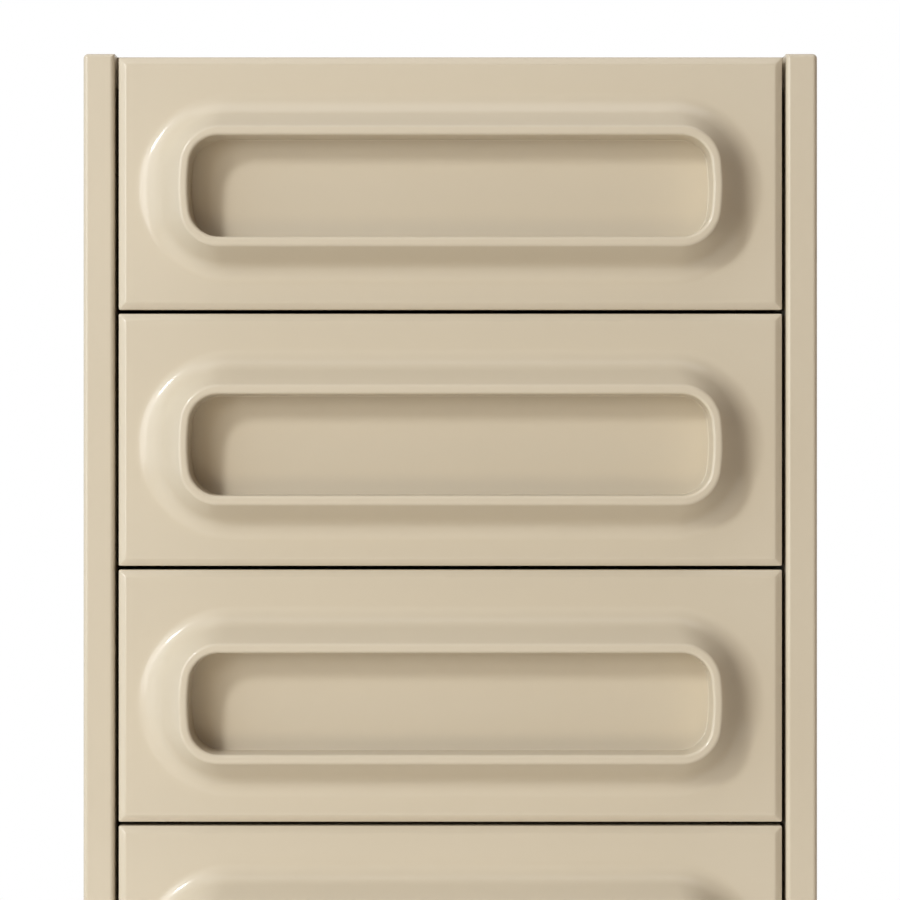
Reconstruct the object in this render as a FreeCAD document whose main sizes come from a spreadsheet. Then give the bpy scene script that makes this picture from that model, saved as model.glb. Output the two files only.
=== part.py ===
import FreeCAD, Part
import math
import os
import Sketcher

# Chest of drawers: two lacquered side boards, a flush top and four moulded fronts between them.
# Each front swells into a flared pull whose rounded lip rings a deep finger recess.
# Behind the fronts are glued drawer boxes on three-member telescopic runners.
#
# The origin is on the floor, under the middle of the outline box, pulls included.
# +X points to the right seen from the front, +Y from the fronts to the back, +Z up.
# Every piece is drawn with y = 0 on the plane of the fronts and is then placed in the chest.

NODE_FOLDER = "parts"

# Driving sizes in millimetres and degrees: name, value, what it measures
DRIVING_SIZES = (
    ("cabinet_width", 470, "over the outer faces of the side boards"),
    ("cabinet_depth", 400, "side boards, from the plane of the fronts to the back edge"),
    ("board_thickness", 20, "side boards, top and bottom panel"),
    ("board_edge_radius", 3, "rounding of the side boards' visible edges"),
    ("glide_height", 4, "floor glides under the side boards"),
    ("glide_diameter", 16, "floor glides"),
    ("glide_inset", 35, "from the ends of a side board to the middle of a glide"),
    ("toe_height", 60, "lower edge of the side boards to the lowest front"),
    ("top_reveal", 2.5, "top of the chest above the highest front"),
    ("tongue_thickness", 8, "tongues that join the panels to the side boards"),
    ("tongue_length", 8, "tongues, sideways"),
    ("groove_spare", 0.5, "room left at the bottom of every groove"),
    ("back_thickness", 5, "back panel"),
    ("back_inset", 12, "back panel, in from the back edge"),
    ("back_hold", 6, "how far the back panel's edges sit in their grooves"),
    ("plinth_thickness", 18, "plinth boards"),
    ("plinth_setback", 40, "front plinth board behind the fronts"),
    ("block_leg", 30, "glue blocks in the plinth corners"),
    ("drawer_count", 4, "drawers"),
    ("front_height", 161.5, "one front"),
    ("front_gap", 2.5, "between one front and the next"),
    ("front_side_gap", 2.5, "between a front and a side board"),
    ("front_thickness", 20, "flat part of a front"),
    ("front_rest_gap", 2, "between a closed front and the panels behind it"),
    ("bevel_width", 4.5, "bevel round a front, across its face"),
    ("bevel_depth", 2.5, "bevel round a front, into its edge"),
    ("lip_length", 344, "outer outline of the lip, sideways"),
    ("lip_height", 75.7, "outer outline of the lip, upright"),
    ("lip_corner_radius", 24.5, "outer outline of the lip, corners"),
    ("lip_bow_radius", 130, "outer outline of the lip, bowed ends"),
    ("lip_width", 5.75, "land between the flank and the recess"),
    ("lip_outer_break", 1.6, "softened outer edge of the lip"),
    ("lip_inner_break", 0.9, "softened inner edge of the lip"),
    ("pull_projection", 25, "lip in front of the face"),
    ("pull_drop", 3.3, "middle of the pull below the middle of the front"),
    ("flank_draft", 35, "slope of the flank against the direction of the mould"),
    ("cove_radius", 18, "hollow that runs the flank out into the face"),
    ("recess_depth", 30, "floor of the finger recess behind the lip"),
    ("recess_sweep", 12, "slope that joins the walls of the recess to its floor"),
    ("box_side_thickness", 12, "drawer box sides, inner front and back"),
    ("box_headroom", 8, "from the highest drawer box up to the top panel"),
    ("box_lift", 26, "drawer box above the lower edge of its front"),
    ("box_edge_radius", 2, "rounded upper edges of the drawer box sides"),
    ("box_bottom_thickness", 5, "drawer bottom"),
    ("box_bottom_lift", 8, "drawer bottom above the lower edge of the sides"),
    ("box_bottom_hold", 6, "how far the drawer bottom sits in its grooves"),
    ("runner_length", 350, "outer and inner runner members"),
    ("runner_middle_length", 340, "middle runner member"),
    ("runner_middle_inset", 5, "front end of the middle member behind the outer one"),
    ("runner_height", 45, "outer runner member over its raceways"),
    ("runner_thickness", 12.7, "space that a closed runner takes beside the box"),
    ("runner_sheet", 1.2, "steel of the runner members"),
    ("runner_play", 0.3, "running clearance between two members"),
    ("runner_lift", 40, "middle of a runner above the lower edge of the box"),
    ("raceway_slope", 0.2, "rise of a raceway's sides towards its ridge"),
    ("raceway_ridge", 6, "ridge of the raceways from the side board"),
)

document = FreeCAD.newDocument("chest_of_drawers")
sheet = document.addObject("Spreadsheet::Sheet", "Sizes")
for row, (alias, number, meaning) in enumerate(DRIVING_SIZES, start=1):
    sheet.set(f"A{row}", meaning)
    sheet.set(f"B{row}", str(number))
    sheet.setAlias(f"B{row}", alias)
document.recompute()

# Places worked out from the driving sizes, x from the middle, y from the fronts, z from the floor
cabinet_side = "(Sizes.cabinet_width / 2)"
opening_side = "(Sizes.cabinet_width / 2 - Sizes.board_thickness)"
origin_to_fronts = "((Sizes.cabinet_depth - Sizes.pull_projection) / 2)"
board_base = "Sizes.glide_height"
lowest_front_base = "(Sizes.glide_height + Sizes.toe_height)"
front_pitch = "(Sizes.front_height + Sizes.front_gap)"
front_stack = "(Sizes.drawer_count * Sizes.front_height + (Sizes.drawer_count - 1) * Sizes.front_gap)"
cabinet_top = f"({lowest_front_base} + {front_stack} + Sizes.top_reveal)"
top_underside = f"({cabinet_top} - Sizes.board_thickness)"
bottom_underside = lowest_front_base
bottom_upper = f"({bottom_underside} + Sizes.board_thickness)"
tongue_inset = "((Sizes.board_thickness - Sizes.tongue_thickness) / 2)"
panel_front = "(Sizes.front_thickness + Sizes.front_rest_gap)"
back_rear = "(Sizes.cabinet_depth - Sizes.back_inset)"
back_front = f"({back_rear} - Sizes.back_thickness)"
front_side = f"({opening_side} - Sizes.front_side_gap)"
pull_height = "(Sizes.front_height / 2 - Sizes.pull_drop)"
box_side = f"({opening_side} - Sizes.runner_thickness)"
box_inner_side = f"({box_side} - Sizes.box_side_thickness)"
box_front = "Sizes.front_thickness"
box_inner_front = "(Sizes.front_thickness + Sizes.box_side_thickness)"
box_rear = f"({panel_front} + Sizes.runner_length)"
box_inner_rear = f"({box_rear} - Sizes.box_side_thickness)"
box_top = "(Sizes.front_height + Sizes.top_reveal - Sizes.board_thickness - Sizes.box_headroom)"
box_floor_underside = "(Sizes.box_lift + Sizes.box_bottom_lift)"
box_floor = f"({box_floor_underside} + Sizes.box_bottom_thickness)"
runner_centre = "(Sizes.box_lift + Sizes.runner_lift)"


def value(expression):
    """The number that an expression in the driving sizes stands for."""
    return float(sheet.evalExpression(expression))


def new_body(name, height="0"):
    """A body for one node, drawn in the chest's x and z and with y from the plane of the fronts."""
    body = document.addObject("PartDesign::Body", name)
    body.Label = name
    body.AllowCompound = True
    body.setExpression("Placement.Base.y", f"-{origin_to_fronts}")
    body.setExpression("Placement.Base.z", height)
    return body


def new_sketch(body, plane_role, name, offset="0"):
    """A sketch on one of the body's own base planes, moved along the plane's normal by offset."""
    plane = next(item for item in body.Origin.OriginFeatures if item.Role == plane_role)
    sketch = body.newObject("Sketcher::SketchObject", name)
    sketch.AttachmentSupport = (plane, [""])
    sketch.MapMode = "FlatFace"
    sketch.setExpression("AttachmentOffset.Base.z", offset)
    return sketch


def bulging_arc(start, end, radius):
    """The short arc from start to end that bulges to the right of that direction."""
    chord = end - start
    reach = math.sqrt(radius ** 2 - (chord.Length / 2) ** 2)
    to_centre = FreeCAD.Vector(-chord.y, chord.x, 0).normalize() * reach
    centre = (start + end) / 2 + to_centre
    start_angle = math.atan2(start.y - centre.y, start.x - centre.x)
    end_angle = math.atan2(end.y - centre.y, end.x - centre.x)
    circle = Part.Circle(centre, FreeCAD.Vector(0, 0, 1), radius)
    return Part.ArcOfCircle(circle, start_angle, end_angle)


def bind(sketch, constraint, expression):
    """Adds a dimension and ties it to the driving sizes."""
    number = sketch.addConstraint(constraint)
    sketch.setExpression(f"Constraints[{number}]", expression)


def draw_outline(sketch, corners, radii=()):
    """A closed outline through the corners; radii gives the radius of each side that is an arc."""
    radii = dict(radii)
    points = [FreeCAD.Vector(value(x), value(y), 0) for x, y in corners]
    first = sketch.GeometryCount
    last = first + len(points) - 1
    for side, start in enumerate(points):
        end = points[(side + 1) % len(points)]
        if side in radii:
            sketch.addGeometry(bulging_arc(start, end, value(radii[side])), False)
        else:
            sketch.addGeometry(Part.LineSegment(start, end), False)
    for line in range(first, last + 1):
        following = first if line == last else line + 1
        sketch.addConstraint(Sketcher.Constraint("Coincident", line, 2, following, 1))
    for side, (x, y) in enumerate(corners):
        line = first + side
        bind(sketch, Sketcher.Constraint("DistanceX", -1, 1, line, 1, value(x)), x)
        bind(sketch, Sketcher.Constraint("DistanceY", -1, 1, line, 1, value(y)), y)
        if side in radii:
            bind(sketch, Sketcher.Constraint("Radius", line, value(radii[side])), radii[side])


def rectangle(x_range, y_range):
    """The four corners of an upright rectangle."""
    (left, right), (low, high) = x_range, y_range
    return ((left, low), (right, low), (right, high), (left, high))


def add(body, kind, profile, name, length, reversed_direction=False):
    """A pad or pocket of one sketch; the volume has to grow or shrink with it."""
    before = body.Shape.Volume if body.Tip else 0
    feature = body.newObject(f"PartDesign::{kind}", name)
    feature.Profile = profile
    feature.Reversed = reversed_direction
    feature.setExpression("Length", length)
    document.recompute()
    grown = body.Shape.Volume - before
    if (grown > 0) != (kind == "Pad"):
        raise RuntimeError(f"{body.Label}: {name} changes the volume by {grown:.3f}")
    return feature


def block(body, name, x_range, y_range, z_range, kind="Pad"):
    """A straight-sided block, added by a pad or taken away by a pocket."""
    low, high = z_range
    sketch = new_sketch(body, "XY_Plane", f"{name}_outline", low)
    draw_outline(sketch, rectangle(x_range, y_range))
    return add(body, kind, sketch, name, f"{high} - {low}", reversed_direction=kind == "Pocket")


def from_middle(hand, near, far):
    """The x range between two distances from the middle, on the left (-1) or the right (1)."""
    return (near, far) if hand > 0 else (f"-{far}", f"-{near}")


def on_both_sides(distance):
    """The x range that reaches as far to the left as to the right."""
    return (f"-{distance}", distance)


def edge_names(shape, wanted):
    """The names of the edges whose bounds, six numbers, pass the test."""
    names = []
    for number, edge in enumerate(shape.Edges, start=1):
        box = edge.BoundBox
        if wanted(box.XMin, box.XMax, box.YMin, box.YMax, box.ZMin, box.ZMax):
            names.append(f"Edge{number}")
    return names


def lies_at(low, high, place):
    """Whether an edge's bounds along one axis shrink to one place."""
    tolerance = 1e-4
    return abs(low - place) < tolerance and abs(high - place) < tolerance


def dress(body, kind, name, wanted, **sizes):
    """A fillet or chamfer on the edges of the body that pass the test."""
    base = body.Tip
    names = edge_names(base.Shape, wanted)
    if not names:
        raise RuntimeError(f"{body.Label}: no edge for {name}")
    feature = body.newObject(f"PartDesign::{kind}", name)
    feature.Base = (base, names)
    if "Size2" in sizes:
        feature.ChamferType = "Two distances"
    for property_name, expression in sizes.items():
        feature.setExpression(property_name, expression)
    document.recompute()
    return feature


# Carcase: side boards, top, bottom, back and plinth

def side_board(name, hand):
    """A side board that runs from the glides to the top, with grooves for the panels and the back."""
    body = new_body(name)
    block(body, "board", from_middle(hand, opening_side, cabinet_side),
          ("0", "Sizes.cabinet_depth"), (board_base, cabinet_top))
    outer = hand * value(cabinet_side)
    inner = hand * value(opening_side)
    top = value(cabinet_top)

    def is_visible_edge(x_low, x_high, y_low, y_high, z_low, z_high):
        at_front = lies_at(y_low, y_high, 0)
        at_top = lies_at(z_low, z_high, top)
        at_outside = lies_at(x_low, x_high, outer)
        at_inside = lies_at(x_low, x_high, inner)
        return (at_front and (at_top or at_outside or at_inside)) or (at_top and at_outside)

    dress(body, "Fillet", "soft_edges", is_visible_edge, Radius="Sizes.board_edge_radius")
    groove = from_middle(hand, opening_side,
                         f"({opening_side} + Sizes.tongue_length + Sizes.groove_spare)")
    for label, underside, rear in (("top", top_underside, "Sizes.cabinet_depth"),
                                   ("bottom", bottom_underside, back_front)):
        low = f"({underside} + {tongue_inset})"
        high = f"({low} + Sizes.tongue_thickness)"
        block(body, f"{label}_groove", groove, (panel_front, rear), (low, high), kind="Pocket")
    back_groove = from_middle(hand, opening_side,
                              f"({opening_side} + Sizes.back_hold + Sizes.groove_spare)")
    block(body, "back_groove", back_groove, (back_front, back_rear),
          (board_base, f"({top_underside} + {tongue_inset})"), kind="Pocket")


def panel(name, underside, rear):
    """A panel between the side boards, held by a tongue at each end."""
    body = new_body(name)
    upper = f"({underside} + Sizes.board_thickness)"
    block(body, "panel", on_both_sides(opening_side), (panel_front, rear), (underside, upper))
    low = f"({underside} + {tongue_inset})"
    high = f"({low} + Sizes.tongue_thickness)"
    tongue_end = f"({opening_side} + Sizes.tongue_length)"
    block(body, "tongues", on_both_sides(tongue_end), (panel_front, rear), (low, high))
    return body


def carcase():
    """Every fixed board of the chest."""
    side_board("side_board_left", -1)
    side_board("side_board_right", 1)
    top = panel("top_panel", top_underside, "Sizes.cabinet_depth")
    groove_roof = f"({top_underside} + {tongue_inset})"
    groove_end = f"({opening_side} + Sizes.tongue_length)"
    block(top, "back_groove", on_both_sides(groove_end), (back_front, back_rear),
          (top_underside, groove_roof), kind="Pocket")
    panel("bottom_panel", bottom_underside, back_front)

    back = new_body("back_panel")
    back_edge = f"({opening_side} + Sizes.back_hold)"
    block(back, "sheet", on_both_sides(back_edge), (back_front, back_rear),
          (bottom_underside, f"({groove_roof} - Sizes.groove_spare)"))

    plinth_front = new_body("plinth_front")
    plinth_front_rear = "(Sizes.plinth_setback + Sizes.plinth_thickness)"
    block(plinth_front, "board", on_both_sides(opening_side),
          ("Sizes.plinth_setback", plinth_front_rear), (board_base, bottom_underside))
    plinth_back = new_body("plinth_back")
    plinth_back_front = f"({back_front} - Sizes.plinth_thickness)"
    block(plinth_back, "board", on_both_sides(opening_side),
          (plinth_back_front, back_front), (board_base, bottom_underside))
    glue_blocks(plinth_front_rear, plinth_back_front)
    floor_glides()


def glue_blocks(behind_front, before_back):
    """Four three-cornered blocks glued into the corners of the plinth, under the bottom panel."""
    body = new_body("plinth_glue_blocks")
    sketch = new_sketch(body, "XY_Plane", "blocks_outline", board_base)
    leg = "Sizes.block_leg"
    for side, inward in ((opening_side, f"({opening_side} - {leg})"),
                         (f"-{opening_side}", f"(-{opening_side} + {leg})")):
        draw_outline(sketch, ((side, behind_front), (inward, behind_front),
                              (side, f"({behind_front} + {leg})")))
        draw_outline(sketch, ((side, before_back), (inward, before_back),
                              (side, f"({before_back} - {leg})")))
    add(body, "Pad", sketch, "blocks", "Sizes.toe_height")


def floor_glides():
    """Four round plastic glides, one near each end of both side boards."""
    body = new_body("floor_glides")
    sketch = new_sketch(body, "XY_Plane", "glides_outline")
    radius = "Sizes.glide_diameter / 2"
    board_middle = f"({opening_side} + Sizes.board_thickness / 2)"
    for x in (board_middle, f"-{board_middle}"):
        for y in ("Sizes.glide_inset", "(Sizes.cabinet_depth - Sizes.glide_inset)"):
            middle = FreeCAD.Vector(value(x), value(y), 0)
            disc = Part.Circle(middle, FreeCAD.Vector(0, 0, 1), value(radius))
            number = sketch.addGeometry(disc, False)
            bind(sketch, Sketcher.Constraint("DistanceX", -1, 1, number, 3, value(x)), x)
            bind(sketch, Sketcher.Constraint("DistanceY", -1, 1, number, 3, value(y)), y)
            bind(sketch, Sketcher.Constraint("Radius", number, value(radius)), radius)
    add(body, "Pad", sketch, "glides", "Sizes.glide_height")


# Moulded front with its flared pull

def lip_outline(sketch, inset):
    """Outline of the lip moved inwards by inset: straight above and below, with rounded corners
    that run into slightly bowed ends, all tangent."""
    half_height = f"(Sizes.lip_height / 2 - {inset})"
    corner = f"(Sizes.lip_corner_radius - {inset})"
    bow = f"(Sizes.lip_bow_radius - {inset})"
    bow_centre = "(Sizes.lip_length / 2 - Sizes.lip_bow_radius)"
    between_centres = "(Sizes.lip_bow_radius - Sizes.lip_corner_radius)"
    corner_rise = "(Sizes.lip_height / 2 - Sizes.lip_corner_radius)"
    corner_run = f"sqrt({between_centres} ^ 2 - {corner_rise} ^ 2)"
    straight_end = f"({bow_centre} + {corner_run})"
    bow_end_x = f"({bow_centre} + {corner_run} * {bow} / {between_centres})"
    bow_end_rise = f"({corner_rise} * {bow} / {between_centres})"
    low = f"({pull_height} - {half_height})"
    high = f"({pull_height} + {half_height})"
    bow_low = f"({pull_height} - {bow_end_rise})"
    bow_high = f"({pull_height} + {bow_end_rise})"
    corners = ((f"-{straight_end}", low), (straight_end, low), (bow_end_x, bow_low),
               (bow_end_x, bow_high), (straight_end, high), (f"-{straight_end}", high),
               (f"-{bow_end_x}", bow_high), (f"-{bow_end_x}", bow_low))
    radii = {1: corner, 2: bow, 3: corner, 5: corner, 6: bow, 7: corner}
    draw_outline(sketch, corners, radii)


def drawer_front(name, height):
    """A flat bevelled front that swells into the pull, with the finger recess sunk into it."""
    body = new_body(name, height)
    face = new_sketch(body, "XZ_Plane", "face_outline")
    draw_outline(face, rectangle(on_both_sides(front_side), ("0", "Sizes.front_height")))
    add(body, "Pad", face, "plate", "Sizes.front_thickness", reversed_direction=True)

    def is_face_edge(x_low, x_high, y_low, y_high, z_low, z_high):
        return lies_at(y_low, y_high, 0)

    bevel = dress(body, "Chamfer", "bevel", is_face_edge,
                  Size="Sizes.bevel_depth", Size2="Sizes.bevel_width")
    flat_side = value(f"({front_side} - Sizes.bevel_width)")
    flat_base = value("Sizes.bevel_width")
    flat_top = value("Sizes.front_height - Sizes.bevel_width")
    if not has_face_of_width(bevel.Shape, 2 * flat_side):
        bevel.FlipDirection = True
        document.recompute()

    lip = new_sketch(body, "XZ_Plane", "lip_outline", "Sizes.pull_projection")
    lip_outline(lip, "0")
    flank = add(body, "Pad", lip, "flank", "Sizes.pull_projection", reversed_direction=True)
    flank.setExpression("TaperAngle", "Sizes.flank_draft")
    document.recompute()

    def is_foot(x_low, x_high, y_low, y_high, z_low, z_high):
        clear_of_sides = -flat_side < x_low and x_high < flat_side
        clear_of_edges = flat_base < z_low and z_high < flat_top
        return lies_at(y_low, y_high, 0) and clear_of_sides and clear_of_edges

    dress(body, "Fillet", "cove", is_foot, Radius="Sizes.cove_radius")

    mouth = new_sketch(body, "XZ_Plane", "recess_outline", "Sizes.pull_projection")
    lip_outline(mouth, "Sizes.lip_width")
    add(body, "Pocket", mouth, "recess", "Sizes.recess_depth")
    floor_depth = value("Sizes.recess_depth - Sizes.pull_projection")

    def is_floor_rim(x_low, x_high, y_low, y_high, z_low, z_high):
        return lies_at(y_low, y_high, floor_depth)

    dress(body, "Chamfer", "recess_sweep", is_floor_rim, Size="Sizes.recess_sweep")
    lip_plane = -value("Sizes.pull_projection")
    mouth_side = value("Sizes.lip_length / 2 - Sizes.lip_width") + value("Sizes.lip_width") / 2
    mouth_rise = value("Sizes.lip_height / 2 - Sizes.lip_width") + value("Sizes.lip_width") / 2
    middle = value(pull_height)

    def is_in_mouth(x_low, x_high, z_low, z_high):
        within_sides = -mouth_side < x_low and x_high < mouth_side
        within_height = -mouth_rise < z_low - middle and z_high - middle < mouth_rise
        return within_sides and within_height

    def is_outer_lip(x_low, x_high, y_low, y_high, z_low, z_high):
        return lies_at(y_low, y_high, lip_plane) and not is_in_mouth(x_low, x_high, z_low, z_high)

    def is_inner_lip(x_low, x_high, y_low, y_high, z_low, z_high):
        return lies_at(y_low, y_high, lip_plane) and is_in_mouth(x_low, x_high, z_low, z_high)

    dress(body, "Chamfer", "lip_outer_break", is_outer_lip, Size="Sizes.lip_outer_break")
    dress(body, "Chamfer", "lip_inner_break", is_inner_lip, Size="Sizes.lip_inner_break")


def has_face_of_width(shape, width):
    """Whether a flat face of that width lies on the plane of the fronts."""
    for face in shape.Faces:
        box = face.BoundBox
        if lies_at(box.YMin, box.YMax, 0) and abs(box.XLength - width) < 1e-3:
            return True
    return False


# Drawer box

def drawer_box(number, height):
    """Two sides, an inner front and a back round a bottom that slides in from the rear."""
    z_range = ("Sizes.box_lift", box_top)
    floor_range = (box_floor_underside, box_floor)
    groove_side = f"({box_inner_side} + Sizes.box_bottom_hold + Sizes.groove_spare)"
    groove_front = f"({box_inner_front} - Sizes.box_bottom_hold - Sizes.groove_spare)"
    for word, hand in (("left", -1), ("right", 1)):
        side = new_body(f"drawer_{number}_side_{word}", height)
        block(side, "board", from_middle(hand, box_inner_side, box_side), (box_front, box_rear), z_range)
        dress(side, "Fillet", "soft_edges", is_long_upper_edge, Radius="Sizes.box_edge_radius")
        block(side, "bottom_groove", from_middle(hand, box_inner_side, groove_side),
              (box_front, box_rear), floor_range, kind="Pocket")
    inner_front = new_body(f"drawer_{number}_inner_front", height)
    block(inner_front, "board", on_both_sides(box_inner_side), (box_front, box_inner_front), z_range)
    block(inner_front, "bottom_groove", on_both_sides(box_inner_side),
          (groove_front, box_inner_front), floor_range, kind="Pocket")
    back = new_body(f"drawer_{number}_back", height)
    block(back, "board", on_both_sides(box_inner_side), (box_inner_rear, box_rear), (box_floor, box_top))
    bottom = new_body(f"drawer_{number}_bottom", height)
    bottom_side = f"({box_inner_side} + Sizes.box_bottom_hold)"
    bottom_front = f"({box_inner_front} - Sizes.box_bottom_hold)"
    block(bottom, "sheet", on_both_sides(bottom_side), (bottom_front, box_rear), floor_range)


def is_long_upper_edge(x_low, x_high, y_low, y_high, z_low, z_high):
    """Whether an edge runs from front to back along the top of a drawer box side."""
    return lies_at(z_low, z_high, value(box_top)) and lies_at(x_low, x_high, x_low)


# Telescopic runners

def channel_outline(hand, web_face, web_inside, tip, half_height):
    """Section of one runner member: an upright web and two flanges that bend to a ridge, the
    raceway. Widths count from the side board towards the box, heights from the middle."""
    ridge = "Sizes.raceway_ridge"

    def corner(width, rise, sign):
        slope = f"Sizes.raceway_slope * abs({width} - {ridge})"
        x = f"({opening_side} - {width})"
        x = x if hand > 0 else f"-{x}"
        return (x, f"({runner_centre} {sign} ({rise} - {slope}))")

    inside_height = f"({half_height} - Sizes.runner_sheet)"
    lower = [corner(web_face, half_height, "-"), corner(ridge, half_height, "-"),
             corner(tip, half_height, "-"), corner(tip, inside_height, "-"),
             corner(ridge, inside_height, "-"), corner(web_inside, inside_height, "-")]
    upper = [corner(web_inside, inside_height, "+"), corner(ridge, inside_height, "+"),
             corner(tip, inside_height, "+"), corner(tip, half_height, "+"),
             corner(ridge, half_height, "+"), corner(web_face, half_height, "+")]
    return lower + upper


outer_half_height = "(Sizes.runner_height / 2)"
nesting_step = "(Sizes.runner_sheet + Sizes.runner_play)"
MEMBER_SECTIONS = {
    "outer": ("0", "Sizes.runner_sheet", "(Sizes.runner_thickness - Sizes.runner_sheet)",
              outer_half_height),
    "middle": (nesting_step, f"({nesting_step} + Sizes.runner_sheet)",
               "(Sizes.runner_thickness - Sizes.runner_play)", f"({outer_half_height} - {nesting_step})"),
    "inner": ("Sizes.runner_thickness", "(Sizes.runner_thickness - Sizes.runner_sheet)",
              f"(2 * {nesting_step})", f"({outer_half_height} - 2 * {nesting_step})"),
}


def runner_member(body, kind, hand, front, length):
    """One rolled steel member of a runner, straight from its front end to its rear end."""
    sketch = new_sketch(body, "XZ_Plane", f"{kind}_section", f"-{front}")
    draw_outline(sketch, channel_outline(hand, *MEMBER_SECTIONS[kind]))
    return add(body, "Pad", sketch, f"{kind}_member", length, reversed_direction=True)


def cabinet_runners(name, hand):
    """The outer members on one side board, one for each drawer."""
    body = new_body(name, lowest_front_base)
    member = runner_member(body, "outer", hand, panel_front, "Sizes.runner_length")
    pattern = body.newObject("PartDesign::LinearPattern", "one_for_each_drawer")
    pattern.Originals = [member]
    upwards = next(item for item in body.Origin.OriginFeatures if item.Role == "Z_Axis")
    pattern.Direction = (upwards, [""])
    pattern.setExpression("Length", f"(Sizes.drawer_count - 1) * {front_pitch}")
    pattern.setExpression("Occurrences", "Sizes.drawer_count")
    body.Tip = pattern
    document.recompute()


def runner_pair(name, kind, front, length, height):
    """The left and right member of one kind that move together."""
    body = new_body(name, height)
    for hand in (-1, 1):
        runner_member(body, kind, hand, front, length)


def build_chest():
    """Makes every piece of the chest."""
    carcase()
    cabinet_runners("cabinet_runners_left", -1)
    cabinet_runners("cabinet_runners_right", 1)
    drawers = int(value("Sizes.drawer_count"))
    for number in range(1, drawers + 1):
        height = f"({lowest_front_base} + {drawers - number} * {front_pitch})"
        drawer_front(f"drawer_{number}_front", height)
        drawer_box(number, height)
        runner_pair(f"drawer_{number}_runner_inner", "inner", panel_front, "Sizes.runner_length", height)
        middle_front = f"({panel_front} + Sizes.runner_middle_inset)"
        runner_pair(f"drawer_{number}_runner_middle", "middle", middle_front,
                    "Sizes.runner_middle_length", height)


def check_and_write():
    """Writes one file for each body once nothing in the document has failed."""
    document.recompute()
    for item in document.Objects:
        if "Invalid" in item.State or "Error" in item.State:
            raise RuntimeError(f"{item.Label} failed: {item.State}")
    bodies = [item for item in document.Objects if item.TypeId == "PartDesign::Body"]
    for body in bodies:
        if body.Shape.isNull() or not body.Shape.isValid():
            raise RuntimeError(f"{body.Label} has no valid shape")
    os.makedirs(NODE_FOLDER, exist_ok=True)
    for body in bodies:
        body.Shape.exportStep(os.path.join(NODE_FOLDER, f"{body.Label}.step"))
    print(f"{len(bodies)} pieces written")


build_chest()
check_and_write()
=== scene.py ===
import math
from collections import namedtuple

import bmesh
import bpy
from bpy.props import FloatProperty, FloatVectorProperty, PointerProperty
from bpy.types import Operator, Panel, PropertyGroup
from mathutils import Matrix, Vector


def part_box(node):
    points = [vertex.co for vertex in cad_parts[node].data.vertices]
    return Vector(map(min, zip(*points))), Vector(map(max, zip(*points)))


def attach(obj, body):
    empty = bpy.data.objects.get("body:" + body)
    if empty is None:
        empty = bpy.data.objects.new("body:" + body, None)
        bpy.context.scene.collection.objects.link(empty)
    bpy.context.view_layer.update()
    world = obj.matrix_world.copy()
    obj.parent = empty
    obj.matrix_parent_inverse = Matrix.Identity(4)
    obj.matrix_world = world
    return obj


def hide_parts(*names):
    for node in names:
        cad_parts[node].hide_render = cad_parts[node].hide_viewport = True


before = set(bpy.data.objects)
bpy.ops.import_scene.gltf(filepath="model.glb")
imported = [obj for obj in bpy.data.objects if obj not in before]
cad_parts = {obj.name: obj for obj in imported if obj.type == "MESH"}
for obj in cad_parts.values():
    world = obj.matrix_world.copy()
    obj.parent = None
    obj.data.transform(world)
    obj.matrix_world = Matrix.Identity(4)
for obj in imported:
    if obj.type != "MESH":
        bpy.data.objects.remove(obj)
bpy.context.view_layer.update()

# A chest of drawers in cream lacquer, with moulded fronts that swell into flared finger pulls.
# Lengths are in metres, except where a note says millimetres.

bl_info = {
    "name": "Chest of Drawers",
    "version": (1, 0, 0),
    "blender": (4, 5, 0),
    "location": "View3D > Sidebar > Chest",
    "description": "Dresses a lacquered chest of drawers and sets it in a small studio",
    "category": "Add Mesh",
}

MM = 0.001
DRAWERS = (1, 2, 3, 4)
SIDES = (-1, 1)

# Places that follow the frame
FRONT_LOW, FRONT_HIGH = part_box("drawer_1_front")
FACE_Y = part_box("side_board_left")[0].y
BOARD_INNER_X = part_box("side_board_right")[0].x

# The moulded front in millimetres: the first four follow the frame, the others repeat the CAD
FRONT_HALF_WIDTH = FRONT_HIGH.x / MM
FRONT_HEIGHT = (FRONT_HIGH.z - FRONT_LOW.z) / MM
FRONT_THICKNESS = (FRONT_HIGH.y - FACE_Y) / MM
PULL_PROJECTION = (FACE_Y - FRONT_LOW.y) / MM
RECESS_DEPTH = 30.0
LIP_HALF_LENGTH, LIP_HALF_HEIGHT = 172.0, 37.85
LIP_CORNER, LIP_BOW = 24.5, 130.0

# Steps of the front's mesh round a quarter of the pull, and the degrees between which the rim
# turns its corner
BOW_STEPS, CORNER_STEPS, TOP_STEPS, STRAIGHT_STEPS = 4, 12, 14, 14
CORNER_START, CORNER_MIDDLE, CORNER_END = 42.0, 45.0, 48.0

# Screw heads as (radius, height)
FRONT_SCREW, CORNER_SCREW, RUNNER_SCREW = (0.0042, 0.0022), (0.0036, 0.0003), (0.0040, 0.0020)
RUNNER_WEB = 0.0012

# Turned profile of a glide as (radius, height): its nail, and its edge as (inset, height)
GLIDE_RADIUS = 0.008
NAIL_PROFILE = ((0.0004, 0.0014), (0.0021, 0.0014), (0.0024, 0.0004))
GLIDE_EDGE = ((0.0022, 0.0), (0.0012, 0.0002), (0.0005, 0.0007), (0.0001, 0.0015), (0.0, 0.0024))
GLIDE_CHAMFER = 0.0003

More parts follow.
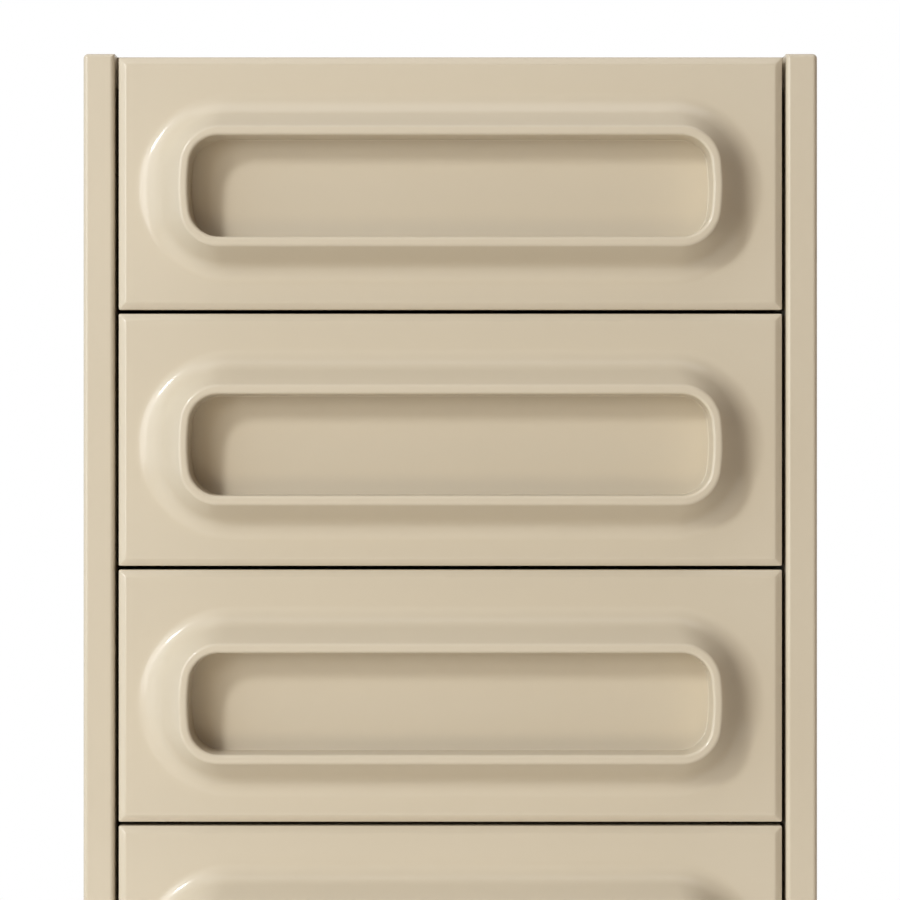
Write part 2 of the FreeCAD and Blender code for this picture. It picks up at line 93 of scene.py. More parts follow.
# Distances from a joint over which its hairline fades in, and colours that no setting changes
HAIRLINE_FADE = (0.00045, 0.00015)
JOINT_SHADE = (0.16, 0.11, 0.06, 1.0)
PALE_FLECK = (0.50, 0.34, 0.20, 1.0)
# Near black painted on the runners' front-facing zinc: painted shade for the gaps beside the
# fronts
PAINTED_GAP_SHADE = (0.050, 0.044, 0.038, 1.0)
FLOOR_TONES = (0.83, 0.825, 0.815, 1.0), (0.87, 0.865, 0.855, 1.0)
FLOOR_GLOW = (1.0, 0.995, 0.985, 1.0)
BLACK, WHITE = (0.0, 0.0, 0.0, 1.0), (1.0, 1.0, 1.0, 1.0)

# The studio: floor disc, height that the softboxes face, camera's place and its lens
FLOOR_RADIUS, FLOOR_Y, FLOOR_FADE = 1.4, -0.6, (0.95, 1.36)
LIGHT_TARGET_HEIGHT = 0.45
CAMERA_X = -0.0002
SENSOR_MM, LENS_MM = 36.0, 137.5


# Settings

def length(name, description, default, soft_max):
    """A length in millimetres that the sidebar offers."""
    return FloatProperty(name=name, description=f"{description}, in millimetres",
                         default=default, min=0.0, soft_max=soft_max)


def colour(name, description, default):
    """A linear colour that the sidebar offers."""
    return FloatVectorProperty(name=name, description=description, default=default, min=0.0,
                               max=1.0, size=3, subtype="COLOR")


class ChestShape(PropertyGroup):
    """Soft shapes of the mouldings, in millimetres."""
    flank_sideways: length("Flank Sideways", "Run of the flank beside the lip", 29.8, 40.0)
    flank_upright: length("Flank Upright", "Run of the flank above and below the lip", 23.8, 30.0)
    cone_share: FloatProperty(name="Cone Share", description="Straight part of the flank's run",
                              default=0.37, min=0.05, max=0.9, subtype="FACTOR")
    lip_width: length("Lip Width", "Land between the flank and the recess", 5.75, 10.0)
    lip_outer_radius: length("Lip Outer Radius", "Rounding towards the flank", 2.7, 5.0)
    lip_inner_radius: length("Lip Inner Radius", "Rounding towards the recess", 2.0, 2.5)
    floor_radius: length("Recess Sweep", "Hollow from the wall to the floor", 0.8, 18.0)
    bevel_width: length("Bevel Width", "Bevel round a front, across the face", 4.5, 9.0)
    bevel_depth: length("Bevel Depth", "Bevel round a front, into the edge", 2.5, 5.0)
    pull_drop: length("Pull Drop", "Middle of the pull below the middle of the front", 3.3, 8.0)


class ChestFinish(PropertyGroup):
    """Colours of the finishes."""
    lacquer: colour("Lacquer", "Cream lacquer", (0.566, 0.494, 0.374))
    birch: colour("Birch", "Face veneer of the drawer boxes", (0.640, 0.450, 0.255))
    birch_dark: colour("Birch Grain", "Grain lines and glue lines", (0.400, 0.235, 0.110))
    pine: colour("Pine", "Raw boards of the carcase", (0.600, 0.400, 0.200))
    pine_dark: colour("Pine Grain", "Late wood of the raw boards", (0.380, 0.200, 0.080))
    hardboard: colour("Hardboard", "Back panel and drawer bottoms", (0.210, 0.115, 0.058))
    zinc: colour("Zinc", "Plated steel of the runners and screws", (0.620, 0.630, 0.640))
    nylon: colour("Nylon", "Floor glides", (0.230, 0.130, 0.070))


class ChestStudio(PropertyGroup):
    """Camera and light."""
    distance: FloatProperty(name="Camera Distance", description="From the plane of the fronts",
                            default=2.2, min=0.5, soft_max=5.0, unit="LENGTH")
    eye_height: FloatProperty(name="Camera Height", description="Above the floor",
                              default=0.4662, min=0.0, soft_max=2.0, unit="LENGTH")
    light_level: FloatProperty(name="Light Level", description="Scales the power of every light",
                               default=1.0, min=0.0, soft_max=3.0, subtype="FACTOR")
    room_front: colour("Room in Front", "Warm dim room behind the camera", (0.030, 0.0, 0.0))
    room_back: colour("Room Behind", "Pale backdrop's light behind the chest", (0.56, 0.50, 0.43))


# Node groups and materials

def start_group(name, inputs, outputs):
    """An empty shader node group with its sockets."""
    tree = bpy.data.node_groups.new(name, "ShaderNodeTree")
    for label, kind, default in inputs:
        socket = tree.interface.new_socket(name=label, in_out="INPUT", socket_type=kind)
        if default is not None:
            socket.default_value = default
    for label, kind in outputs:
        tree.interface.new_socket(name=label, in_out="OUTPUT", socket_type=kind)
    return tree, tree.nodes.new("NodeGroupInput"), tree.nodes.new("NodeGroupOutput")


def node(tree, kind, values=None, **settings):
    """A node with its settings, and with values in its unlinked sockets."""
    made = tree.nodes.new(kind)
    for key, value in settings.items():
        setattr(made, key, value)
    for key, value in (values or {}).items():
        made.inputs[key].default_value = value
    return made


def math_node(tree, operation, first, second=None, clamp=False):
    """The output of a Math node whose operands are sockets or numbers."""
    made = node(tree, "ShaderNodeMath", operation=operation, use_clamp=clamp)
    for index, operand in enumerate((first, second)):
        if isinstance(operand, (int, float)):
            made.inputs[index].default_value = operand
        elif operand is not None:
            tree.links.new(operand, made.inputs[index])
    return made.outputs[0]


def between(tree, value, from_range, to_range=(0.0, 1.0), smooth=False):
    """The output of a Map Range node."""
    made = node(tree, "ShaderNodeMapRange", clamp=True,
                interpolation_type="SMOOTHSTEP" if smooth else "LINEAR")
    tree.links.new(value, made.inputs["Value"])
    for key, number in zip(("From Min", "From Max", "To Min", "To Max"), from_range + to_range):
        made.inputs[key].default_value = number
    return made.outputs["Result"]


def mix_colours(tree, factor, first, second):
    """The output of a colour Mix node; a factor or colour is a socket or a value."""
    made = node(tree, "ShaderNodeMix", data_type="RGBA")
    for index, operand in ((0, factor), (6, first), (7, second)):
        if isinstance(operand, bpy.types.NodeSocket):
            tree.links.new(operand, made.inputs[index])
        else:
            made.inputs[index].default_value = operand
    return made.outputs[2]


def noise(tree, vector, scale, detail=2.0, roughness=0.5, stretch=None):
    """The value of a Noise Texture; stretch scales the vector first."""
    if stretch:
        mapping = node(tree, "ShaderNodeMapping", {"Scale": stretch})
        tree.links.new(vector, mapping.inputs["Vector"])
        vector = mapping.outputs["Vector"]
    made = node(tree, "ShaderNodeTexNoise",
                {"Scale": scale, "Detail": detail, "Roughness": roughness})
    tree.links.new(vector, made.inputs["Vector"])
    return made.outputs[0]


def swing(tree, value, amount):
    """A noise value moved to lie round zero, then scaled."""
    return math_node(tree, "MULTIPLY", math_node(tree, "SUBTRACT", value, 0.5), amount)


def split(tree, vector):
    """The outputs X, Y and Z of a vector."""
    apart = node(tree, "ShaderNodeSeparateXYZ")
    tree.links.new(vector, apart.inputs[0])
    return apart.outputs


def lacquer_film_group():
    """Sprayed lacquer: slow shade drift, orange peel and a few dust nibs caught in the film."""
    tree, given, out = start_group(
        "Lacquer Film",
        (("Vector", "NodeSocketVector", None), ("Colour", "NodeSocketColor", (0.7, 0.6, 0.45, 1)),
         ("Drift", "NodeSocketFloat", 0.03), ("Peel", "NodeSocketFloat", 1.0),
         ("Roughness", "NodeSocketFloat", 0.3)),
        (("Colour", "NodeSocketColor"), ("Roughness", "NodeSocketFloat"),
         ("Height", "NodeSocketFloat")))
    place = given.outputs["Vector"]
    broad = noise(tree, place, scale=5.0, detail=3.0)
    drift = swing(tree, broad, given.outputs["Drift"])
    shade = math_node(tree, "ADD", 1.0, math_node(tree, "MULTIPLY", drift, 2.0))
    scaled = node(tree, "ShaderNodeVectorMath", operation="SCALE")
    tree.links.new(given.outputs["Colour"], scaled.inputs[0])
    tree.links.new(shade, scaled.inputs["Scale"])
    tree.links.new(scaled.outputs[0], out.inputs["Colour"])
    haze = swing(tree, noise(tree, place, scale=14.0, detail=4.0, roughness=0.6), 0.09)
    tree.links.new(math_node(tree, "ADD", given.outputs["Roughness"], haze, clamp=True),
                   out.inputs["Roughness"])
    peel = math_node(tree, "MULTIPLY", noise(tree, place, scale=260.0, detail=1.5),
                     given.outputs["Peel"])
    cells = node(tree, "ShaderNodeTexVoronoi", {"Scale": 21.0, "Randomness": 1.0})
    tree.links.new(place, cells.inputs["Vector"])
    nib = between(tree, cells.outputs["Distance"], (0.030, 0.012), smooth=True)
    nib_height = 9.0
    tree.links.new(math_node(tree, "ADD", peel, math_node(tree, "MULTIPLY", nib, nib_height)),
                   out.inputs["Height"])
    return tree


def timber_group():
    """Plain-sawn timber or veneer; X runs through the thickness, Y along the grain."""
    tree, given, out = start_group(
        "Timber",
        (("Vector", "NodeSocketVector", None), ("Pale", "NodeSocketColor", (0.6, 0.4, 0.2, 1)),
         ("Dark", "NodeSocketColor", (0.4, 0.2, 0.1, 1)), ("Ring Scale", "NodeSocketFloat", 30.0),
         ("Figure", "NodeSocketFloat", 0.5)),
        (("Colour", "NodeSocketColor"), ("Roughness", "NodeSocketFloat"),
         ("Height", "NodeSocketFloat")))
    place = given.outputs["Vector"]
    warp = noise(tree, place, scale=3.0, detail=3.0, stretch=(3.0, 0.5, 3.0))
    axes = split(tree, place)
    across = math_node(tree, "ADD", axes["Z"], math_node(tree, "MULTIPLY", warp, 0.075))
    across = math_node(tree, "ADD", across, math_node(tree, "MULTIPLY", axes["X"], 0.8))
    phase = math_node(tree, "MULTIPLY", across, given.outputs["Ring Scale"])
    ring = between(tree, math_node(tree, "FRACT", phase), (0.35, 1.0), smooth=True)
    fibre = noise(tree, place, scale=60.0, detail=4.0, roughness=0.65, stretch=(9.0, 0.35, 9.0))
    pits = noise(tree, place, scale=130.0, detail=2.0, stretch=(9.0, 0.22, 9.0))
    pores = between(tree, pits, (0.60, 0.72))
    streak = swing(tree, fibre, 0.9)
    figure = math_node(tree, "MULTIPLY", ring, given.outputs["Figure"])
    tone = math_node(tree, "ADD", math_node(tree, "ADD", figure, streak),
                     math_node(tree, "MULTIPLY", pores, 0.25), clamp=True)
    tree.links.new(mix_colours(tree, tone, given.outputs["Pale"], given.outputs["Dark"]),
                   out.inputs["Colour"])
    tree.links.new(between(tree, tone, (0.0, 1.0), (0.42, 0.60)), out.inputs["Roughness"])
    tree.links.new(math_node(tree, "SUBTRACT", fibre, math_node(tree, "MULTIPLY", pores, 0.8)),
                   out.inputs["Height"])
    return tree


def handling_group():
    """Faint dust and hand marks that dull a surface here and there."""
    tree, given, out = start_group(
        "Handling",
        (("Vector", "NodeSocketVector", None), ("Amount", "NodeSocketFloat", 0.3)),
        (("Mask", "NodeSocketFloat"),))
    place = given.outputs["Vector"]
    smear = between(tree, noise(tree, place, scale=9.0, detail=5.0, roughness=0.6), (0.48, 0.72))
    specks = between(tree, noise(tree, place, scale=420.0, detail=2.0), (0.62, 0.74))
    both = math_node(tree, "ADD", smear, math_node(tree, "MULTIPLY", specks, 0.5))
    tree.links.new(math_node(tree, "MULTIPLY", both, given.outputs["Amount"], clamp=True),
                   out.inputs["Mask"])
    return tree


GROUP_MAKERS = {
    "Lacquer Film": lacquer_film_group,
    "Timber": timber_group,
    "Handling": handling_group,
}


def use_group(tree, name, vector, **values):
    """Places a shared node group in a material; it is built the first time."""
    shared = bpy.data.node_groups.get(name) or GROUP_MAKERS[name]()
    made = node(tree, "ShaderNodeGroup", node_tree=shared)
    tree.links.new(vector, made.inputs["Vector"])
    for key, value in values.items():
        socket = made.inputs[key.replace("_", " ")]
        if isinstance(value, bpy.types.NodeSocket):
            tree.links.new(value, socket)
        else:
            socket.default_value = value
    return made


def start_material(name, **constants):
    """A material with a Principled shader whose plain values are set on its sockets."""
    material = bpy.data.materials.new(name)
    material.use_nodes = True
    tree = material.node_tree
    tree.nodes.clear()
    shader = tree.nodes.new("ShaderNodeBsdfPrincipled")
    for key, value in constants.items():
        shader.inputs[key.replace("_", " ")].default_value = value
    output = tree.nodes.new("ShaderNodeOutputMaterial")
    tree.links.new(shader.outputs[0], output.inputs["Surface"])
    place = tree.nodes.new("ShaderNodeTexCoord").outputs["Object"]
    return material, tree, shader, place


def add_bump(tree, shader, height, distance, strength=1.0):
    """Feeds a height through a Bump node into the shader's normal."""
    bump = node(tree, "ShaderNodeBump", {"Distance": distance, "Strength": strength})
    tree.links.new(height, bump.inputs["Height"])
    tree.links.new(bump.outputs[0], shader.inputs["Normal"])


def roughen(tree, shader, place, roughness, amount):
    """Feeds a roughness into the shader, with dust and hand marks on top."""
    marks = use_group(tree, "Handling", place, Amount=amount)
    tree.links.new(math_node(tree, "ADD", roughness, marks.outputs["Mask"], clamp=True),
                   shader.inputs["Roughness"])


def rgba(values, factor=1.0):
    """A colour with its alpha, lighter or darker by a factor."""
    return (*(min(1.0, channel * factor) for channel in values), 1.0)


def lacquer_material(name, joint_at=None):
    """Glossy cream lacquer; joint_at marks the hairlines where a panel meets the side boards."""
    finish = bpy.context.scene.chest_finish
    material, tree, shader, place = start_material(
        name, Coat_Weight=0.40, Coat_Roughness=0.13, Coat_IOR=1.5, IOR=1.46,
        Specular_IOR_Level=0.35)
    film = use_group(tree, "Lacquer Film", place, Colour=rgba(finish.lacquer), Drift=0.018,
                     Peel=1.0, Roughness=0.38)
    shown = film.outputs["Colour"]
    if joint_at is not None:
        sideways = math_node(tree, "ABSOLUTE", split(tree, place)["X"])
        off = math_node(tree, "ABSOLUTE", math_node(tree, "SUBTRACT", sideways, joint_at))
        hairline = between(tree, off, HAIRLINE_FADE)
        shown = mix_colours(tree, hairline, shown, JOINT_SHADE)
    tree.links.new(shown, shader.inputs["Base Color"])
    roughen(tree, shader, place, film.outputs["Roughness"], 0.05)
    add_bump(tree, shader, film.outputs["Height"], distance=0.000006)
    return material


def turned_place(tree, place, degrees):
    """A place turned round X, Y and Z, so that the grain runs another way."""
    turn = node(tree, "ShaderNodeMapping",
                {"Rotation": tuple(math.radians(angle) for angle in degrees)})
    tree.links.new(place, turn.inputs["Vector"])
    return turn.outputs["Vector"]


def ply_material(name, thickness_axis, veneer_mm=1.35):
    """Clear-lacquered birch plywood; its layers show on edges that face up, down or to an end."""
    finish = bpy.context.scene.chest_finish
    material, tree, shader, place = start_material(name, Coat_Weight=0.25, Coat_Roughness=0.25)
    pale, dark = rgba(finish.birch), rgba(finish.birch_dark)
    grain_place = place if thickness_axis == "X" else turned_place(tree, place, (0.0, 0.0, 90.0))
    wood = use_group(tree, "Timber", grain_place, Pale=pale, Dark=dark, Ring_Scale=26.0,
                     Figure=0.22)
    layers = math_node(tree, "MULTIPLY", split(tree, place)[thickness_axis],
                       1.0 / (veneer_mm * MM))
    dark_layer = between(tree, math_node(tree, "PINGPONG", layers, 1.0), (0.40, 0.60))
    banded = mix_colours(tree, math_node(tree, "MULTIPLY", dark_layer, 0.75), pale, dark)
    normal = split(tree, node(tree, "ShaderNodeNewGeometry").outputs["True Normal"])
    on_edge = between(tree, math_node(tree, "ABSOLUTE", normal[thickness_axis]), (0.6, 0.4))
    tree.links.new(mix_colours(tree, on_edge, wood.outputs["Colour"], banded),
                   shader.inputs["Base Color"])
    roughen(tree, shader, place, wood.outputs["Roughness"], 0.12)
    add_bump(tree, shader, wood.outputs["Height"], distance=0.00005, strength=0.7)
    return material


def pine_material(name, run_across):
    """Raw softwood of the hidden carcase, its grain from side to side or from front to back."""
    finish = bpy.context.scene.chest_finish
    material, tree, shader, place = start_material(name)
    grain_place = turned_place(tree, place, (0.0, 90.0, 90.0 if run_across else 0.0))
    wood = use_group(tree, "Timber", grain_place, Pale=rgba(finish.pine),
                     Dark=rgba(finish.pine_dark), Ring_Scale=70.0, Figure=0.55)
    tree.links.new(wood.outputs["Colour"], shader.inputs["Base Color"])
    tree.links.new(math_node(tree, "ADD", wood.outputs["Roughness"], 0.15),
                   shader.inputs["Roughness"])
    add_bump(tree, shader, wood.outputs["Height"], distance=0.00012)
    return material


def hardboard_material():
    """Brown hardboard: pressed fibres with paler and darker flecks."""
    finish = bpy.context.scene.chest_finish
    material, tree, shader, place = start_material("fibreboard")
    fibres = noise(tree, place, scale=320.0, detail=5.0, roughness=0.7)
    clouds = noise(tree, place, scale=12.0, detail=4.0, roughness=0.55)
    flecks = between(tree, noise(tree, place, scale=700.0, detail=2.0), (0.58, 0.74))
    tone = math_node(tree, "ADD", math_node(tree, "MULTIPLY", fibres, 0.6),
                     swing(tree, clouds, 0.5), clamp=True)
    base = mix_colours(tree, tone, rgba(finish.hardboard), rgba(finish.hardboard, 1.9))
    tree.links.new(mix_colours(tree, math_node(tree, "MULTIPLY", flecks, 0.35), base, PALE_FLECK),
                   shader.inputs["Base Color"])
    roughen(tree, shader, place, between(tree, fibres, (0.3, 0.7), (0.42, 0.60)), 0.15)
    add_bump(tree, shader, fibres, distance=0.00010)
    return material


def zinc_material():
    """Zinc plating on rolled steel, with fine lines and dull bloom; faces towards the front are
    painted near black as painted shade for the gaps beside the fronts.
    """
    finish = bpy.context.scene.chest_finish
    material, tree, shader, place = start_material("zinc", Metallic=1.0)
    lines = noise(tree, place, scale=90.0, detail=3.0, roughness=0.6, stretch=(12.0, 0.25, 12.0))
    bloom = between(tree, noise(tree, place, scale=55.0, detail=4.0, roughness=0.6), (0.35, 0.70))
    plated = mix_colours(tree, bloom, rgba(finish.zinc), rgba(finish.zinc, 0.74))
    normal = split(tree, node(tree, "ShaderNodeNewGeometry").outputs["True Normal"])
    # Faces that look to the front get painted shade, near black and rougher, so the runner ends
    # stay dark in the gaps
    gap_shade_mask = between(tree, normal["Y"], (-0.6, -0.9))
    tree.links.new(mix_colours(tree, gap_shade_mask, plated, PAINTED_GAP_SHADE), shader.inputs["Base Color"])
    rough = math_node(tree, "ADD", between(tree, lines, (0.3, 0.7), (0.24, 0.36)),
                      math_node(tree, "MULTIPLY", bloom, 0.10))
    rough = math_node(tree, "ADD", rough, math_node(tree, "MULTIPLY", gap_shade_mask, 0.3))
    roughen(tree, shader, place, rough, 0.2)
    add_bump(tree, shader, lines, distance=0.00002)
    return material


def nylon_material():
    """Brown nylon of the glides, scuffed by the floor."""
    finish = bpy.context.scene.chest_finish
    material, tree, shader, place = start_material("nylon")
    scuffs = use_group(tree, "Handling", place, Amount=0.6).outputs["Mask"]
    tree.links.new(mix_colours(tree, scuffs, rgba(finish.nylon), rgba(finish.nylon, 1.8)),
                   shader.inputs["Base Color"])
    tree.links.new(between(tree, scuffs, (0.0, 1.0), (0.38, 0.70)), shader.inputs["Roughness"])
    add_bump(tree, shader, noise(tree, place, scale=900.0, detail=3.0), distance=0.00003)
    return material


def finished(name):
    """A finish by name, once it is mixed."""
    made = bpy.data.materials.get(name)
    if made is None:
        raise RuntimeError(f"the finish {name} isn't mixed yet")
    return made


def dress(name, finish):
    """Gives a CAD node its finish."""
    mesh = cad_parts[name].data
    mesh.materials.clear()
    mesh.materials.append(finished(finish))


# Mesh helpers

def add_object(name, bm, finish, body, smooth=True):
    """Turns a bmesh in metres into a piece with a finish and a body."""
    bmesh.ops.recalc_face_normals(bm, faces=bm.faces)
    mesh = bpy.data.meshes.new(name)
    bm.to_mesh(mesh)
    bm.free()
    for polygon in mesh.polygons:
        polygon.use_smooth = smooth
    mesh.materials.append(finished(finish))
    made = bpy.data.objects.new(name, mesh)
    bpy.context.scene.collection.objects.link(made)
    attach(made, body)
    return made


def rounded(corners, steps):
    """A line through the corners (a, b, radius), with an arc at each corner that has a radius."""
    points = []
    for index, (a, b, radius) in enumerate(corners):
        here = Vector((a, b))
        if not radius:
            points.append(here)
            continue
        before = Vector(corners[index - 1][:2])
        after = Vector(corners[index + 1][:2])
        inwards = (before - here).normalized()
        onwards = (after - here).normalized()
        half_turn = (math.pi - inwards.angle(onwards)) / 2
        reach = radius * math.tan(half_turn)
        centre = here + (inwards + onwards).normalized() * (radius / math.cos(half_turn))
        start = here + inwards * reach - centre
        sign = 1.0 if start.cross(here + onwards * reach - centre) > 0 else -1.0
        for step in range(steps + 1):
            turn = sign * 2 * half_turn * step / steps
            spoke = Vector((start.x * math.cos(turn) - start.y * math.sin(turn),
                            start.x * math.sin(turn) + start.y * math.cos(turn)))
            points.append(centre + spoke)
    return points


def stitch(bm, rings):
    """Faces between closed rings of vertices, and across the first and last ring."""
    for ring, following in zip(rings, rings[1:]):
        count = len(ring)
        for index in range(count):
            after = (index + 1) % count
            bm.faces.new((ring[index], ring[after], following[after], following[index]))
    bm.faces.new(rings[0])
    bm.faces.new(rings[-1])


def turned(bm, profile, place, segments=28):
    """A turned solid from (radius, height) pairs, stood up by the matrix place."""
    rings = []
    for radius, height in profile:
        ring = []
        for step in range(segments):
            angle = 2 * math.pi * step / segments
            ring.append(bm.verts.new(place @ Vector((radius * math.cos(angle),
                                                     radius * math.sin(angle), height))))
        rings.append(ring)
    stitch(bm, rings)


# The moulded front, in millimetres until build_front places it

# One place round the pull: lip, direction inwards, foot, rim, and the flank's run and slope there
Station = namedtuple("Station", "lip inwards foot rim run slope")


def spread(start, end, steps):
    """Even values from start to end."""
    return [start + (end - start) * step / steps for step in range(steps + 1)]


def lip_at(angle):
    """Outer outline of the lip's upper right quarter, where its normal points along angle."""
    rise = LIP_HALF_HEIGHT - LIP_CORNER
    run = math.sqrt((LIP_BOW - LIP_CORNER) ** 2 - rise ** 2)
    bow_centre = LIP_HALF_LENGTH - LIP_BOW
    spoke = Vector((math.cos(angle), math.sin(angle)))
    if angle <= math.atan2(rise, run):
        return Vector((bow_centre, 0.0)) + spoke * LIP_BOW
    return Vector((bow_centre + run, rise)) + spoke * LIP_CORNER


def quarter_rows(shape):
    """Lip, inward direction, foot and rim from the right end of the pull to its upper middle."""
    foot_radius = LIP_HALF_HEIGHT + shape.flank_upright
    foot_centre = LIP_HALF_LENGTH + shape.flank_sideways - foot_radius
    top_end = foot_centre / FRONT_HALF_WIDTH
    bow_end = math.degrees(math.atan2(LIP_HALF_HEIGHT - LIP_CORNER, LIP_BOW - LIP_CORNER))
    angles = spread(0.0, bow_end, BOW_STEPS)[:-1] + spread(bow_end, CORNER_START, CORNER_STEPS)
    angles += [CORNER_MIDDLE] + spread(CORNER_END, 90.0, TOP_STEPS)
    rows = []
    for degrees in angles:
        angle = math.radians(degrees)
        spoke = Vector((math.cos(angle), math.sin(angle)))
        foot = Vector((foot_centre + foot_radius * math.cos(angle), foot_radius * math.sin(angle)))
        if degrees <= CORNER_START:
            rim = ("side", degrees / CORNER_START)
        elif degrees < CORNER_END:
            rim = ("corner", 1.0)
        else:
            reach = (90.0 - degrees) / (90.0 - CORNER_END)
            rim = ("level", top_end + (1.0 - top_end) * reach)
        rows.append((lip_at(angle), -spoke, foot, rim))
    lip_end = rows[-1][0].x
    for share in spread(1.0, 0.0, STRAIGHT_STEPS)[1:]:
        rows.append((Vector((lip_end * share, LIP_HALF_HEIGHT)), Vector((0.0, -1.0)),
                     Vector((foot_centre * share, foot_radius)), ("level", top_end * share)))
    return rows


def front_stations(shape):
    """Stations round the pull, anticlockwise, each with its place on lip, foot and rim."""
    *upper_right, middle = quarter_rows(shape)

    def mirrored(row, sx, sz):
        lip, inwards, foot, (kind, share) = row
        flip = Vector((sx, sz))
        run = (foot - lip).length
        return Station(lip * flip, inwards * flip, foot * flip, (kind, share, sx, sz), run,
                       slope_of(run, shape.cone_share))

    stations = [mirrored(row, 1, 1) for row in upper_right]
    stations.append(mirrored(middle, 1, 1))
    stations += [mirrored(row, -1, 1) for row in reversed(upper_right)]
    stations += [mirrored(row, -1, -1) for row in upper_right[1:]]
    stations.append(mirrored(middle, 1, -1))
    stations += [mirrored(row, 1, -1) for row in reversed(upper_right[1:])]
    return stations


def rim_point(station, inset, pull_height, corner=0.9):
    """A place on the front's outline moved inwards, as x and the height above the pull."""
    kind, share, sx, sz = station.rim
    side = FRONT_HALF_WIDTH - inset
    reach = (FRONT_HEIGHT - pull_height if sz > 0 else pull_height) - inset
    if kind == "side":
        return Vector((sx * side, sz * share * (reach - corner)))
    if kind == "corner":
        cut = corner * (1.0 - math.sqrt(0.5))
        return Vector((sx * (side - cut), sz * (reach - cut)))
    return Vector((sx * share * (side - corner), sz * reach))


def slope_of(run, cone_share):
    """Slope of the cone that, with its hollow, climbs the pull's projection over the run."""
    low, high, halvings = 0.1, 1.5, 40
    for _ in range(halvings):
        middle = (low + high) / 2
        climb = run * (cone_share * math.tan(middle) + (1 - cone_share) * math.tan(middle / 2))
        low, high = (middle, high) if climb < PULL_PROJECTION else (low, middle)
    return middle


def flank_height(run, slope, cone_share, share):
    """Height of the flank above the face at a share of its run, 0 at the lip and 1 at the foot."""
    if share <= cone_share:
        return PULL_PROJECTION - share * run * math.tan(slope)
    hollow = (1 - cone_share) * run / math.sin(slope)
    return hollow - math.sqrt(hollow ** 2 - ((1 - share) * run) ** 2)


def rim_rings(shape, stations, pull_height):
    """Rings over the back edge, the outer edge and the bevel to the flat face."""
    back, back_inset, back_radius = -FRONT_THICKNESS, 2.5, 0.6
    edge_radius, bevel_radius, flat_beyond, arc_steps = 0.9, 3.5, 1.9, 4
    corners = ((back_inset, back, 0), (0.0, back, back_radius),
               (0.0, -shape.bevel_depth, edge_radius), (shape.bevel_width, 0.0, bevel_radius),
               (shape.bevel_width + flat_beyond, 0.0, 0))
    return [[(*rim_point(s, inset, pull_height), out) for s in stations]
            for inset, out in rounded(corners, arc_steps)]


def flank_rings(shape, stations):
    """Rings from the face just outside the foot, up the hollow and the cone to the lip."""
    outside_foot, hollow_steps, cone_shares = 0.5, 16, [0.30, 0.20]
    rings = [[(*(s.foot + (s.foot - s.lip).normalized() * outside_foot), 0.0) for s in stations]]
    for share in spread(1.0, shape.cone_share, hollow_steps) + cone_shares:
        rings.append([(*s.lip.lerp(s.foot, share),
                       flank_height(s.run, s.slope, shape.cone_share, share)) for s in stations])
    return rings


def lip_rings(shape, stations, arc_steps=6):
    """Rings that round the flank's upper edge over into the flat of the lip."""
    rings = []
    for t in spread(0.0, 1.0, arc_steps):
        ring = []
        for s in stations:
            reach = shape.lip_outer_radius * math.tan(s.slope / 2)
            below = (s.foot - s.lip).normalized() * (reach * math.cos(s.slope))
            start = Vector((*(s.lip + below), PULL_PROJECTION - reach * math.sin(s.slope)))
            end = Vector((*(s.lip + s.inwards * reach), PULL_PROJECTION))
            apex = Vector((*s.lip, PULL_PROJECTION))
            parts = ((1 - t) ** 2, 2 * t * (1 - t) * math.cos(s.slope / 2), t ** 2)
            ring.append(tuple((start * parts[0] + apex * parts[1] + end * parts[2]) / sum(parts)))
        rings.append(ring)
    return rings


def recess_rings(shape, stations):
    """Rings over the flat of the lip, down the wall and round the hollow to the floor."""
    wall, floor = shape.lip_width, PULL_PROJECTION - RECESS_DEPTH
    flat_before, draft, flat_beyond, arc_steps = 0.6, 0.3, 0.8, 9
    corners = ((wall - shape.lip_inner_radius - flat_before, PULL_PROJECTION, 0),
               (wall, PULL_PROJECTION, shape.lip_inner_radius),
               (wall + draft, floor, shape.floor_radius),
               (wall + shape.floor_radius + flat_beyond, floor, 0))
    return [[(*(s.lip + s.inwards * inset), out) for s in stations]
            for inset, out in rounded(corners, arc_steps)]


def build_front(number, shape):
    """One moulded front with its pull, in place of the plain node."""
    name = f"drawer_{number}_front"
    pull_height = FRONT_HEIGHT / 2 - shape.pull_drop
    low_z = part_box(name)[0].z
    stations = front_stations(shape)
    rings = rim_rings(shape, stations, pull_height) + flank_rings(shape, stations)
    rings += lip_rings(shape, stations) + recess_rings(shape, stations)
    bm = bmesh.new()
    made = []
    for ring in rings:
        made.append([bm.verts.new((x * MM, FACE_Y - out * MM, low_z + (pull_height + z) * MM))
                     for x, z, out in ring])
    stitch(bm, made)
    front = add_object(f"moulded_front_{number}", bm, "lacquer",
                       f"drawer_{number}")
    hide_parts(name)


# Screws and glides

